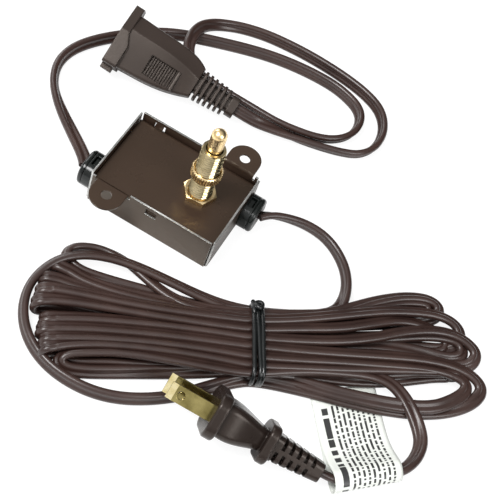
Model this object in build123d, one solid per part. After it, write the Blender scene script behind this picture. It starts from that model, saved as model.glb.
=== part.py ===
from build123d import *
import math
import os

# Plunger pushbutton switch for a cabinet light, in millimetres, +Z up, standing on the table at z = 0.
# Origin: centre of the tray's underside. +X runs to the supply cord's end, +Y to the back ear.

# Steel box
sheet = 0.8                   # thickness of the tray's and the cover's steel
tray_length = 57.0            # outside, along X
tray_width = 41.2             # outside, along Y
tray_height = 16.8            # table to rim
corner_slit = 1.2             # open slit between neighbouring walls
bend_radius = 1.2             # outside radius of every fold
ear_x = 18.0                  # ear centre from the middle of the tray
ear_width = 14.0
ear_hole_reach = 5.1          # ear hole from the outside of the wall
ear_hole_dia = 4.5
ear_relief_width = 1.0        # notch beside each ear's fold
ear_relief_depth = 2.4
cover_recess = 3.4            # rim to the top of the cover
cover_gap = 0.3               # cover to the walls
window_width = 4.9            # lanced windows in the long walls
window_drop = 1.6             # rim to the top of a window
window_height = 3.4
tab_width = 3.6
tab_slant = 42.0              # degrees that a lanced tab is bent inwards
tab_gap = 0.1                 # tab's tip to the cover
front_tab_x = 0.0
back_tab_x = -19.0

# Strain-relief bushings
relief_y = 11.0
relief_room = 0.7             # barrel to the floor and to the cover
relief_flange = 1.1           # how far the head stands out above and below the barrel
relief_head_length = 6.5
relief_head_width = 15.0
relief_head_flat = 1.4        # straight part of the head's ends
relief_round = 1.3            # rounding of the head's outer edge
relief_ring = 0.4             # groove round the head, its depth and width
relief_ring_back = 2.0        # groove from the outer face
relief_pocket = 2.6           # depth of the latch's pocket in the head's top
relief_pocket_width = 5.0
relief_latch_drop = 0.9       # latch below the head's top
relief_latch_gap = 0.5        # latch to the pocket's sides
relief_wall_gap = 0.1
relief_inner_length = 6.0
relief_groove = 0.5           # how far the wall sits in the barrel's groove

# Switch in the cover
neck_x = 10.5
neck_y = 1.0
neck_dia = 10.0
neck_top = 42.5
neck_bore_dia = 7.2
neck_flange_dia = 14.0
neck_flange = 1.2
neck_spigot_dia = 8.0
spring_seat_z = 19.0
guide_hole_dia = 3.3
neck_hole_gap = 0.15          # cover's hole and nuts round the neck
washer_dia = 13.6
washer_thickness = 0.5
washer_teeth = 10
hex_flats = 12.7
hex_height = 2.4
hex_turn = 7.0                # degrees
ring_dia = 13.0
ring_height = 4.4
ring_bottom = 25.6
ring_knurls = 36
ring_knurl_depth = 0.45
plunger_dia = 6.3
plunger_proud = 11.0
plunger_travel = 5.5
head_engaged = 6.0            # plunger head inside the neck at rest
stem_dia = 3.0
spring_wire = 0.55
spring_dia = 6.2              # outside
spring_turns = 10
spring_gap = 0.15             # wire to its two seats at rest

# Switch housing under the cover
housing_left = 12.0           # from the plunger's axis
housing_right = 5.0
housing_width = 14.0
housing_top_wall = 1.4
housing_wall = 1.2
base_wall = 0.9
base_lip = 0.8
floor_gap = 0.3
contact_sheet = 0.6
contact_gap = 0.1             # bridge to fixed contacts in the closed state
contact_spread = 3.6          # fixed contacts from the plunger's axis, along Y
contact_strip = 3.0
contact_reach = 5.0           # terminal tab outside the housing
bridge_width = 4.0
bridge_length = 10.0
rivet_height = 0.3
rivet_dia = 4.2

# Leads inside the box
lead_dia = 2.6
lead_spread = 1.5             # half the spacing of the two conductors in a bushing
lead_hole_gap = 0.05
lead_tab_gap = 0.05
lead_turn = 2.7               # line lead's first bend, beyond the housing's right end
lead_stagger = 1.2            # neutral lead bends this much farther out
lead_slope = 4.5              # along X between a lead's two bends
sleeve_x = -16.0              # crimped sleeve that joins the two neutral leads
sleeve_y = (-1.5, 7.5)
sleeve_dia = 5.6
sleeve_insert = 4.0

# Cords, plain tubes as thick as the flat twin cord on average
cord_dia = 4.2
cord_entry = 8.0              # straight run before a moulding
cord_exit = 4.5               # straight run out of a bushing

# Outlet receptacle on the short cord
outlet_place = (-58.0, 51.5, 15.0)       # centre of its face
outlet_axis = (-0.990, -0.055, 0.125)    # the way the face looks
outlet_roll = 36.0                       # degrees, long side above the table
outlet_flange_length = 4.0
outlet_flange = (13.6, 14.6, 8.2, 8.2, 4.2, 2.6)   # section of the face, in the order of the sections below
outlet_lip = 2.4                         # how much longer the flange is at its thick end
outlet_lip_start = -2.0                  # where the lip begins, from the centre
outlet_nub = (2.2, 5.0, 4.0)             # nub under the flange's thick end: drop, length, width
# behind the flange: distance, thick end, thin end, side at the thick end, ridge, tip, ridge from the centre
outlet_sections = (
    (0.0, 13.0, 11.6, 5.8, 7.2, 3.6, 4.6),
    (12.0, 12.1, 11.2, 5.5, 7.2, 3.6, 4.4),
    (22.0, 10.8, 10.9, 5.1, 7.0, 3.6, 4.0),
    (29.0, 9.0, 10.0, 4.4, 6.3, 3.4, 3.0),
    (35.0, 6.8, 7.4, 3.4, 4.8, 3.0, 1.6),
)
outlet_rounds = [1.3, 0.5, 1.3]          # rounding at the thick end, the ridge and the thin end
outlet_relief_length = 20.0
outlet_relief_core = ((8.4, 6.2), (7.2, 5.2))      # section at the body and at the cord
outlet_relief_discs = 6
outlet_relief_pitch = 2.5
outlet_disc = (13.6, 10.8)               # first disc, each further one is smaller
outlet_disc_step = 0.4
outlet_disc_length = 1.1
outlet_collar = (9.4, 7.4)               # collar at the cord
outlet_collar_length = 3.6
relief_corner = 2.2
slot_spacing = 12.7
slot_narrow = 6.9
slot_wide = 8.5
slot_gap = 2.2
slot_depth = 17.5
contact_leaf = 0.5
contact_mouth = 1.3
finger_ribs = 11
finger_floor = 4.9                       # bottom of the grooves, from the middle of the body
finger_top = 5.6                         # top of the ribs
finger_panel = 13.0                      # along the body
finger_panel_back = 13.0                 # panel from the back of the flange
finger_panel_side = (0.2, 9.0)           # across the body
finger_stop = (1.6, 1.2)                 # raised bar behind the panel: length, height above the ribs

# Plug on the long cord
plug_place = (61.5, -83.0, 15.0)         # centre of its face
plug_axis = (-0.971, -0.137, 0.195)      # the way the blades point
plug_roll = -51.0                        # degrees, long side below the level
plug_flange = (25.0, 18.0)               # long and short side of the face
plug_flange_length = 4.6
plug_flange_corner = 5.5
plug_edge = 1.1                          # rounding of the flange's and the collar's edges
plug_sections = (                        # behind the flange: distance, long side, short side
    (0.0, 20.0, 13.4),
    (5.0, 19.4, 13.6),
    (11.0, 15.6, 11.4),
    (17.5, 11.0, 8.4),
)
plug_corner = 2.8
plug_collar = (18.0, 15.4)
plug_collar_length = 4.0
plug_collar_corner = 4.2
plug_relief_length = 21.0
plug_relief = ((12.0, 10.8), (9.4, 7.4))           # section at the collar and at the cord
plug_relief_core = (7.0, 4.4)            # what the slots leave whole
plug_relief_slots = 5
plug_slot = 1.4
plug_slot_start = 1.4                    # collar to the first slot
plug_relief_tail = 3.6                   # plain end at the cord
plug_spine = 0.8                         # half of the rib left between two rows of slots
blade_length = 17.6
blade_root = 9.0
blade_narrow = 6.35
blade_wide = 7.9
blade_thickness = 1.5
blade_bevel = (0.5, 2.4)                 # bevel of the tip: depth, length
blade_hole_dia = 3.2
blade_hole_reach = 12.7

# Hank of the long cord, its tie and the tag
hank_start = (-15.0, -83.0)
hank_angle = 28.0              # degrees from +X
hank_sections = (              # along the hank: station, sideways offset, width, height
    (1.0, 3.0, 22.0, 7.0),
    (10.0, 4.0, 38.0, 8.4),
    (40.0, 3.0, 38.0, 8.8),
    (87.0, 0.0, 31.0, 9.2),
    (115.0, 0.5, 37.0, 8.8),
    (145.0, 2.0, 52.0, 8.2),
    (162.0, 5.0, 44.0, 7.4),
    (175.0, 3.0, 24.0, 6.4),
)
hank_corner = 3.0
hank_lift = 1.2                # strands above the table on average
tie_station = 87.0
tie_width = 5.0
tie_thickness = 1.1
tag_along = 22.0               # along the cord
tag_reach = 36.0
tag_sheet = 0.5
tag_loop_gap = 0.6

# Routes of the cords over the table, after their straight runs out of the bushings
outlet_route = [
    (-44.2, -4.4, 6.0), (-51.6, 3.0, 4.4), (-59.6, 9.8, 2.8), (-67.0, 17.4, 2.4),
    (-72.0, 26.0, 2.4), (-73.4, 36.0, 2.4), (-72.4, 46.0, 2.4), (-69.0, 55.0, 2.4), (-64.0, 63.5, 2.4),
    (-57.0, 71.0, 2.4), (-48.0, 77.5, 2.4), (-33.5, 85.0, 2.4), (-20.8, 90.8, 2.4), (-6.9, 96.4, 2.4),
    (10.9, 100.2, 2.4), (29.5, 99.3, 2.4), (42.1, 95.2, 2.4), (48.8, 88.6, 2.4), (47.5, 79.5, 2.4),
    (39.9, 71.6, 2.4), (30.0, 67.0, 2.4), (18.0, 65.2, 2.4), (4.0, 65.6, 2.4), (-9.0, 65.4, 2.4),
    (-21.0, 66.6, 2.4), (-31.0, 70.6, 4.0), (-37.0, 78.0, 7.6), (-37.3, 87.0, 7.6), (-33.0, 95.6, 4.0),
    (-25.5, 103.5, 2.4), (-14.5, 109.5, 2.4), (-0.5, 112.3, 2.4), (16.0, 111.6, 2.4), (33.8, 107.3, 2.4),
    (48.4, 100.4, 2.4), (58.4, 91.4, 2.4), (61.0, 81.6, 2.4), (53.4, 71.0, 2.4), (42.0, 63.4, 2.4),
    (31.0, 59.0, 2.4), (19.6, 56.4, 4.4)]
supply_lead_route = [
    (44.4, 15.6, 6.2), (51.4, 20.4, 4.8), (60.0, 21.9, 3.4), (69.0, 19.2, 2.5), (77.0, 11.8, 2.4),
    (82.0, 2.6, 2.6), (82.3, -7.6, 3.0), (77.1, -15.6, 3.6), (65.8, -23.1, 4.0)]
supply_loop_route = [
    (54.2, -30.1, 4.6), (43.9, -34.1, 4.8), (33.6, -36.2, 5.0), (20.7, -37.8, 5.4), (8.0, -39.6, 5.8),
    (-3.2, -42.6, 6.2), (-12.5, -47.6, 6.2), (-19.4, -54.6, 5.6), (-22.7, -63.3, 4.4), (-22.6, -72.3, 3.4),
    (-18.9, -81.3, 2.6), (-12.0, -89.1, 2.4), (-2.8, -94.4, 2.4), (7.7, -96.6, 2.4), (19.4, -95.9, 2.4),
    (30.1, -92.2, 2.4), (40.1, -85.6, 2.4), (48.5, -77.6, 2.4), (56.2, -67.8, 2.6), (64.5, -58.0, 3.4)]
supply_tail_route = [
    (95.0, -29.0, 7.0), (106.0, -25.2, 7.4), (116.8, -24.4, 7.2), (126.0, -28.4, 5.4), (132.6, -35.2, 3.6),
    (136.1, -42.9, 2.8), (136.5, -49.9, 2.8), (134.0, -57.0, 3.2)]

cover_top = tray_height - cover_recess
cover_under = cover_top - sheet
washer_under = cover_under - washer_thickness
housing_top = washer_under - neck_flange
housing_under = sheet + floor_gap
cavity_top = housing_top - housing_top_wall
cavity_floor = housing_under + base_wall
contact_under = cavity_top - contact_sheet
bridge_top = contact_under - contact_gap
plunger_tip = neck_top + plunger_proud
head_under = neck_top - head_engaged
wall_x = tray_length / 2
wall_y = tray_width / 2
window_top = tray_height - window_drop
window_bottom = window_top - window_height
relief_z = (sheet + cover_under) / 2
relief_barrel_dia = cover_under - sheet - 2 * relief_room
relief_head_height = relief_barrel_dia + 2 * relief_flange
relief_head_corner = (relief_head_height - relief_head_flat) / 2
relief_face_x = wall_x + relief_head_length
outlet_body_length = outlet_flange_length + outlet_sections[-1][0]
plug_body_length = plug_flange_length + plug_sections[-1][0] + plug_collar_length


def slab(x0, x1, y0, y1, z0, z1):
    """A box between two corners."""
    return Pos((x0 + x1) / 2, (y0 + y1) / 2, (z0 + z1) / 2) * Box(x1 - x0, y1 - y0, z1 - z0)


def turned(profile, x=0.0, y=0.0):
    """A solid turned about Z from points (radius, z)."""
    face = make_face(Polyline(*[(r, 0, z) for r, z in profile], close=True))
    return Pos(x, y, 0) * revolve(face, Axis.Z)


def half_turn(shape):
    """The same piece at the opposite end of the box."""
    return Rot(0, 0, 180) * shape


def front_ear():
    """Ear folded outwards from the front wall's rim, with its round end and screw hole."""
    centre = -wall_y - ear_hole_reach
    half = ear_width / 2
    root = slab(-ear_x - half, -ear_x + half, -wall_y, -wall_y + sheet,
                tray_height - ear_relief_depth, tray_height)
    blade = slab(-ear_x - half, -ear_x + half, centre, -wall_y + sheet, tray_height - sheet, tray_height)
    ear = root + blade
    fold = [e for e in ear.edges().filter_by(Axis.X)
            if abs(e.center().Y + wall_y - sheet) < 0.01 and abs(e.center().Z - tray_height) < 0.01]
    crook = [e for e in ear.edges().filter_by(Axis.X)
             if abs(e.center().Y + wall_y) < 0.01 and abs(e.center().Z - tray_height + sheet) < 0.01]
    ear = fillet(crook, bend_radius - sheet)
    ear = fillet([e for e in ear.edges().filter_by(Axis.X)
                  if abs(e.center().Y - fold[0].center().Y) < 0.01
                  and abs(e.center().Z - tray_height) < 0.01], bend_radius)
    disc = Pos(-ear_x, centre, tray_height - sheet / 2) * Cylinder(half, sheet)
    hole = Pos(-ear_x, centre, tray_height) * Cylinder(ear_hole_dia / 2, 4 * sheet)
    return ear + disc - hole


def lanced_tab():
    """Tongue cut from the front wall on three sides and bent inwards over the cover."""
    drop = window_top - cover_top - tab_gap
    run = drop * math.tan(math.radians(tab_slant))
    lean = sheet / math.cos(math.radians(tab_slant))
    y0 = -wall_y + sheet
    profile = Polyline((0, y0 - 0.01, window_top), (0, y0 + run, window_top - drop),
                       (0, y0 + run, window_top - drop + lean), (0, y0 - 0.01, window_top + lean),
                       close=True)
    return Pos(-tab_width / 2, 0, 0) * extrude(make_face(profile), tab_width, dir=(1, 0, 0))


def box_tray():
    """One folded blank: floor, four walls open at the corners, two ears, two lanced tabs."""
    length_in = wall_x - corner_slit
    width_in = wall_y - corner_slit
    floor = slab(-wall_x, wall_x, -width_in, width_in, 0, sheet)
    floor += slab(-length_in, length_in, -wall_y, wall_y, 0, sheet)
    end_wall = slab(wall_x - sheet, wall_x, -width_in, width_in, 0, tray_height)
    end_wall -= Pos(wall_x, relief_y, relief_z) * Rot(0, 90, 0) * Cylinder(
        relief_barrel_dia / 2 - relief_groove + relief_wall_gap, 4 * sheet)
    long_wall = slab(-length_in, length_in, -wall_y, -wall_y + sheet, 0, tray_height)
    notch = ear_width / 2 + ear_relief_width
    long_wall -= slab(-ear_x - notch, -ear_x + notch, -wall_y - 1, -wall_y + 2 * sheet,
                      tray_height - ear_relief_depth, tray_height + 1)
    window = slab(-window_width / 2, window_width / 2, -wall_y - 1, -wall_y + 2 * sheet,
                  window_bottom, window_top)
    front = long_wall - Pos(front_tab_x, 0, 0) * window
    back = half_turn(long_wall - Pos(-back_tab_x, 0, 0) * window)
    tray = floor + end_wall + half_turn(end_wall) + front + back
    outside = [e for e in tray.edges() if abs(e.center().Z) < 0.01
               and (abs(abs(e.center().X) - wall_x) < 0.01 or abs(abs(e.center().Y) - wall_y) < 0.01)]
    tray = fillet(outside, bend_radius)
    tray += front_ear()
    tray += half_turn(front_ear())
    tray += Pos(front_tab_x, 0, 0) * lanced_tab()
    tray += half_turn(Pos(-back_tab_x, 0, 0) * lanced_tab())
    return tray


def cover_plate():
    """Recessed cover: a flat top with two long legs that stand on the tray's floor."""
    half_x = wall_x - sheet - cover_gap
    half_y = wall_y - sheet - cover_gap
    cover = slab(-half_x, half_x, -half_y, half_y, sheet, cover_top)
    cover -= slab(-half_x - 1, half_x + 1, -half_y + sheet, half_y - sheet, 0, cover_under)
    ridges = [e for e in cover.edges().filter_by(Axis.X)
              if abs(e.center().Z - cover_top) < 0.01 and abs(abs(e.center().Y) - half_y) < 0.01]
    cover = fillet(ridges, bend_radius)
    return cover - Pos(neck_x, neck_y, cover_top) * Cylinder(neck_dia / 2 + neck_hole_gap, 4 * sheet)


def strain_relief():
    """Nylon bushing on the supply side: oblong head with a latch in its pocket, grooved barrel, holes."""
    inner = wall_x - sheet
    ring = relief_face_x - relief_ring_back
    outline = RectangleRounded(relief_head_width, relief_head_height, relief_head_corner)
    body = extrude(across(outline, wall_x), relief_head_length)
    body = fillet([e for e in body.edges() if abs(e.center().X - relief_face_x) < 0.01], relief_round)
    body -= extrude(across(outline - offset(outline, -relief_ring), ring - relief_ring), relief_ring)
    half = relief_pocket_width / 2
    top = relief_head_height / 2
    start = wall_x + sheet
    stop = ring - relief_ring - sheet
    body -= slab(start, stop, -half, half, top - relief_pocket, top + 1)
    half -= relief_latch_gap
    body += slab(start, stop - relief_latch_gap, -half, half, top - relief_pocket, top - relief_latch_drop)
    for radius, x0, x1 in ((relief_barrel_dia / 2 - relief_groove, inner - relief_wall_gap, wall_x),
                           (relief_barrel_dia / 2, inner - relief_inner_length, inner - relief_wall_gap)):
        body += Pos((x0 + x1) / 2, 0, 0) * Rot(0, 90, 0) * Cylinder(radius, x1 - x0)
    hole = Cylinder(lead_dia / 2 + lead_hole_gap, 2 * tray_length)
    for side in (-1, 1):
        body -= Pos(wall_x, side * lead_spread, 0) * Rot(0, 90, 0) * hole
    return Pos(0, relief_y, relief_z) * body


def switch_neck():
    """Brass neck: flange under the cover, long outside thread, wide bore, spring seat and guide hole."""
    bore, hole, outer = neck_bore_dia / 2, guide_hole_dia / 2, neck_dia / 2
    rim = 0.5
    profile = [(hole, cavity_top), (neck_spigot_dia / 2, cavity_top), (neck_spigot_dia / 2, housing_top),
               (neck_flange_dia / 2, housing_top), (neck_flange_dia / 2, washer_under),
               (outer, washer_under), (outer, neck_top - rim), (outer - rim, neck_top), (bore, neck_top),
               (bore, spring_seat_z), (hole, spring_seat_z)]
    return turned(profile, neck_x, neck_y)


def lock_washer():
    """Internal-tooth washer between the neck's flange and the underside of the cover."""
    ring = Circle(washer_dia / 2) - Circle(neck_dia / 2 + 1.0)
    tooth = Rectangle(1.4, 1.3)
    for i in range(washer_teeth):
        ring += Rot(0, 0, 360 * i / washer_teeth) * Pos(neck_dia / 2 + 0.95, 0) * tooth
    return Pos(neck_x, neck_y, washer_under) * extrude(ring, washer_thickness)


def hex_nut():
    """Hexagon nut that clamps the cover, with its corners turned off on the upper side."""
    corner = hex_flats / math.sqrt(3)
    prism = extrude(RegularPolygon(corner, 6), hex_height)
    cone = turned([(0, 0), (corner + 0.1, 0), (corner + 0.1, hex_height - 0.45),
                   (hex_flats / 2 - 0.1, hex_height), (0, hex_height)])
    nut = (prism & cone) - Cylinder(neck_dia / 2 + neck_hole_gap / 2, 4 * hex_height)
    return Pos(neck_x, neck_y, cover_top) * Rot(0, 0, hex_turn) * nut


def knurled_nut():
    """Ring nut for the panel, straight-knurled, with a turned-down lip above and below."""
    points = []
    for i in range(ring_knurls):
        for share, radius in ((0.0, ring_dia / 2), (0.5, ring_dia / 2 - ring_knurl_depth)):
            angle = 2 * math.pi * (i + share) / ring_knurls
            points.append((radius * math.cos(angle), radius * math.sin(angle)))
    knurl = extrude(make_face(Polyline(*points, close=True)), ring_height)
    lip = 0.7
    shape = turned([(neck_dia / 2 + neck_hole_gap / 2, 0), (ring_dia / 2 - lip, 0), (ring_dia / 2, lip),
                    (ring_dia / 2, ring_height - lip), (ring_dia / 2 - lip, ring_height),
                    (neck_dia / 2 + 0.7, ring_height),
                    (neck_dia / 2 + neck_hole_gap / 2, ring_height - 0.5)])
    return Pos(neck_x, neck_y, ring_bottom) * (knurl & shape)


def plunger():
    """Brass plunger: domed head in the neck and a thin stem down to the contact bridge."""
    radius, stem = plunger_dia / 2, stem_dia / 2
    foot = bridge_top - contact_sheet - rivet_height
    rivet_top = bridge_top - contact_sheet
    outline = Polyline((0, 0, foot), (rivet_dia / 2, 0, foot), (rivet_dia / 2, 0, rivet_top),
                       (stem, 0, rivet_top), (stem, 0, head_under), (radius, 0, head_under),
                       (radius, 0, plunger_tip - radius))
    arc = Plane.XZ.location * CenterArc((0, plunger_tip - radius), radius, 0, 90)
    axis_line = Line((0, 0, plunger_tip), (0, 0, foot))
    body = revolve(make_face([*outline.edges(), *arc.edges(), axis_line]), Axis.Z)
    return Pos(neck_x, neck_y, 0) * body


def contact_bridge():
    """Sprung brass strip on the plunger's stem that joins the two fixed contacts."""
    strip = slab(-bridge_width / 2, bridge_width / 2, -bridge_length / 2, bridge_length / 2,
                 bridge_top - contact_sheet, bridge_top)
    return Pos(neck_x, neck_y, 0) * (strip - Cylinder(stem_dia / 2, 100))


def return_spring():
    """Coil spring round the stem, between the neck's seat and the plunger's head."""
    low = spring_seat_z + spring_gap + spring_wire / 2
    high = head_under - spring_gap - spring_wire / 2
    radius = (spring_dia - spring_wire) / 2
    coil = Helix(pitch=(high - low) / spring_turns, height=high - low, radius=radius)
    wire = Plane(origin=coil @ 0, z_dir=coil % 0) * Circle(spring_wire / 2)
    return Pos(neck_x, neck_y, low) * sweep(wire, path=coil, is_frenet=True)


def housing_box(inset, z0, z1):
    """The housing's outline, drawn in by an inset, between two heights."""
    half = housing_width / 2 - inset
    return slab(neck_x - housing_left + inset, neck_x + housing_right - inset, neck_y - half, neck_y + half,
                z0, z1)


def terminal(side):
    """Fixed contact under the housing's roof, with its tab out through the left wall."""
    y = neck_y + side * contact_spread
    return slab(neck_x - housing_left - contact_reach, neck_x + bridge_width / 2, y - contact_strip / 2,
                y + contact_strip / 2, contact_under, cavity_top)


def switch_housing():
    """Moulded housing, open below, held by the neck's spigot."""
    housing = housing_box(0, housing_under, housing_top)
    housing = fillet(housing.edges().filter_by(Axis.Z), 1.0)
    housing -= housing_box(housing_wall, 0, cavity_top)
    housing -= housing_box(base_lip, 0, cavity_floor)
    housing -= Pos(neck_x, neck_y, housing_top) * Cylinder(neck_spigot_dia / 2, 4 * housing_top_wall)
    return housing - terminal(-1) - terminal(1)


def housing_base():
    """Plate that closes the housing from below."""
    return housing_box(base_lip, housing_under, cavity_floor)


def tube(points, diameter, name):
    """Round tube along straight runs joined by the largest tangent arcs; prints its radii."""
    pts = [Vector(*p) for p in points]
    radii = []
    for before, here, after in zip(pts, pts[1:], pts[2:]):
        turn = math.radians((here - before).get_angle(after - here))
        radii.append(0.45 * min((here - before).length, (after - here).length) / math.tan(turn / 2))
    path = FilletPolyline(*pts, radius=radii)
    solid = sweep(Plane(origin=path @ 0, z_dir=path % 0) * Circle(diameter / 2), path=path)
    share = solid.volume / (math.pi * diameter ** 2 / 4 * path.length)
    print(f"{name}: length {path.length:.0f}, radii {[round(r) for r in radii]}, volume share {share:.3f}")
    return solid


# Inner leads: twins side by side in each bushing, then apart to a tab or into the sleeve.
tab_x = neck_x - housing_left - contact_reach / 2
tab_z = contact_under - lead_tab_gap - lead_dia / 2
inner_twin = relief_y - lead_spread
outer_twin = relief_y + lead_spread
pass_y = neck_y + housing_width / 2 + lead_dia


def supply_line_lead():
    """Switched conductor from the supply bushing, behind the housing to the line tab."""
    end_y = neck_y + contact_spread - contact_strip / 2
    turn_x = neck_x + housing_right + lead_turn
    return tube([(relief_face_x, inner_twin, relief_z), (turn_x, inner_twin, relief_z),
                 (turn_x - lead_slope, pass_y, relief_z), (tab_x + 1.1 * lead_dia, pass_y + 0.4, relief_z),
                 (tab_x, pass_y - 0.94 * lead_dia, tab_z), (tab_x, end_y, tab_z)],
                lead_dia, "supply_line_lead")


def supply_neutral_lead():
    """Neutral conductor from the supply bushing, along the back leg into the sleeve."""
    back = pass_y + 1.2 * lead_dia
    turn_x = neck_x + housing_right + lead_turn + lead_stagger
    return tube([(relief_face_x, outer_twin, relief_z), (turn_x, outer_twin, relief_z),
                 (turn_x - lead_slope, back, relief_z), (tab_x + 1.0, back + 0.4, relief_z),
                 (sleeve_x + 1.4 * lead_dia, back - 1.0, relief_z),
                 (sleeve_x, back - 1.6 * lead_dia, relief_z),
                 (sleeve_x, sleeve_y[1] - sleeve_insert, relief_z)], lead_dia, "supply_neutral_lead")


def outlet_line_lead():
    """Switched conductor from the load tab to the outlet bushing."""
    end_y = neck_y - contact_spread + contact_strip / 2
    return tube([(-relief_face_x, -outer_twin, relief_z), (tab_x - 3.1 * lead_dia, -outer_twin, relief_z),
                 (tab_x - 3.0, -outer_twin + 2.4, tab_z), (tab_x, -outer_twin + 6.0, tab_z),
                 (tab_x, end_y, tab_z)], lead_dia, "outlet_line_lead")


def outlet_neutral_lead():
    """Neutral conductor from the sleeve to the outlet bushing."""
    return tube([(-relief_face_x, -inner_twin, relief_z), (sleeve_x - 3.0, -inner_twin, relief_z),
                 (sleeve_x, -inner_twin + 3.4, relief_z),
                 (sleeve_x, sleeve_y[0] + sleeve_insert, relief_z)], lead_dia, "outlet_neutral_lead")


def crimp_sleeve():
    """Insulated sleeve crimped over the ends of the two neutral leads."""
    length = sleeve_y[1] - sleeve_y[0]
    body = Cylinder(sleeve_dia / 2, length) - Cylinder(lead_dia / 2 + lead_hole_gap, length + 1)
    for end in (-1, 1):
        body -= Pos(sleeve_dia * 0.62, 0, end * length * 0.27) * Cylinder(sleeve_dia * 0.2, 1.6)
    return Pos(sleeve_x, sum(sleeve_y) / 2, relief_z) * Rot(90, 0, 0) * body


def seat(place, axis, roll):
    """Frame of a plug or receptacle: x out of its face, y down its long side, z out of its broad side."""
    out = Vector(*axis).normalized()
    level = out.cross(Vector(0, 0, 1)).normalized()
    rise = level.cross(out)
    angle = math.radians(roll)
    broad = rise * math.cos(angle) - level * math.sin(angle)
    return Plane(origin=place, x_dir=out, z_dir=broad).location


def cord_in(place, back):
    """The straight run by which a cord enters a moulding at a distance behind its face."""
    return [tuple((place * Pos(-back - run, 0, 0)).position) for run in (cord_entry, 0.0)]


def bushing_exit(side):
    """The straight run by which a cord leaves a bushing, at the supply end (1) or the outlet end (-1)."""
    return [(side * x, side * relief_y, relief_z) for x in (relief_face_x, relief_face_x + cord_exit)]


def across(sketch, x):
    """A flat sketch stood up across the local x axis."""
    return Plane(origin=(x, 0, 0), x_dir=(0, 1, 0), z_dir=(1, 0, 0)).location * sketch


outlet_seat = seat(outlet_place, outlet_axis, outlet_roll)
plug_seat = seat(plug_place, plug_axis, plug_roll)
outlet_cord_in = cord_in(outlet_seat, outlet_body_length + outlet_relief_length)
plug_cord_in = cord_in(plug_seat, plug_body_length + plug_relief_length)


def keystone(low, high, side, ridge, tip, ridge_line):
    """Section of the receptacle: a thick end, its sides rising to a ridge, then sloping to a thin end."""
    corners = [(low, side), (-ridge_line, ridge), (-high, tip)]
    corners += [(y, -z) for y, z in reversed(corners)]
    return make_face(FilletPolyline(*corners, radius=outlet_rounds + outlet_rounds[::-1], close=True))


def leaf_contact(width):
    """Folded brass strip that grips a blade, in the receptacle's local frame."""
    outer = contact_mouth + 2 * contact_leaf
    fold = slab(-slot_depth, -outlet_flange_length, -outer / 2, outer / 2, -width / 2, width / 2)
    mouth = slab(-slot_depth + contact_leaf, 0, -contact_mouth / 2, contact_mouth / 2, -width, width)
    return fold - mouth


def outlet_face():
    """Flange round the receptacle's face, longer at its thick end, with a nub below it."""
    low, high, half = outlet_flange[:3]
    short = -outlet_flange_length
    long = short - outlet_lip
    prism = extrude(across(keystone(*outlet_flange), long), -long)
    outline = make_face(Polyline((0, low), (0, -high), (short, -high), (short, outlet_lip_start),
                                 (long, outlet_lip_start + 2 * outlet_lip), (long, low), close=True))
    bends = [v for v in outline.vertices() if abs(v.Y - outlet_lip_start - outlet_lip) < 1.1 * outlet_lip]
    flange = prism & extrude(fillet(bends, outlet_lip), half, both=True)
    drop, length, width = outlet_nub
    return flange + slab(-length, 0, low - drop, low + drop, -width / 2, width / 2)


def finger_grooves():
    """What is cut from both sides of the receptacle: a flat panel with grooves across it."""
    start = -outlet_flange_length - finger_panel_back
    near, far = finger_panel_side
    pitch = finger_panel / finger_ribs
    cut = slab(start - finger_panel, start, near, far, finger_top, finger_top + 4)
    for i in range(finger_ribs):
        x = start - (i + 0.5) * pitch
        cut += slab(x - 0.25 * pitch, x + 0.25 * pitch, near, far, finger_floor, finger_top + 1)
    return cut + mirror(cut, Plane.XY)


def finger_bar():
    """Bar through the receptacle behind the panels, raised on both sides to stop the fingers."""
    length, height = finger_stop
    start = -outlet_flange_length - finger_panel_back - finger_panel
    near, far = finger_panel_side
    half = finger_top + height
    bar = slab(start - length, start, near, far, -half, half)
    return fillet(bar.edges().filter_by(Axis.Y), 0.4 * length)


def receptacle_body():
    """Moulded receptacle: face flange, ridged body with finger panels, ribbed strain relief."""
    sections = [across(keystone(*section), -outlet_flange_length - back)
                for back, *section in outlet_sections]
    body = outlet_face() + loft(sections) - finger_grooves() + finger_bar()
    end = -outlet_body_length
    relief_end = end - outlet_relief_length
    core = [across(RectangleRounded(*size, relief_corner), x)
            for size, x in zip(outlet_relief_core, (end, relief_end))]
    body += loft(core)
    for i in range(outlet_relief_discs):
        long, wide = (size - i * outlet_disc_step for size in outlet_disc)
        disc = across(RectangleRounded(long, wide, relief_corner), end - (i + 1) * outlet_relief_pitch)
        body += extrude(disc, outlet_disc_length)
    collar = across(RectangleRounded(*outlet_collar, relief_corner), relief_end)
    body += extrude(collar, outlet_collar_length)
    return outlet_seat * (body - outlet_slots())


def outlet_slots():
    """Two polarised slots through the face with the pockets that hold the contacts."""
    cut = None
    for side, width in ((1, slot_narrow), (-1, slot_wide)):
        y = side * slot_spacing / 2
        mouth = slab(-outlet_flange_length, 1, y - slot_gap / 2, y + slot_gap / 2, -width / 2, width / 2)
        outer = contact_mouth / 2 + contact_leaf
        pocket = slab(-slot_depth, -outlet_flange_length, y - outer, y + outer, -width / 2, width / 2)
        both = mouth + pocket
        cut = both if cut is None else cut + both
    return cut


def receptacle_contact(side, width):
    """Brass contact seated in its pocket behind one slot."""
    return outlet_seat * Pos(0, side * slot_spacing / 2, 0) * leaf_contact(width)


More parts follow.
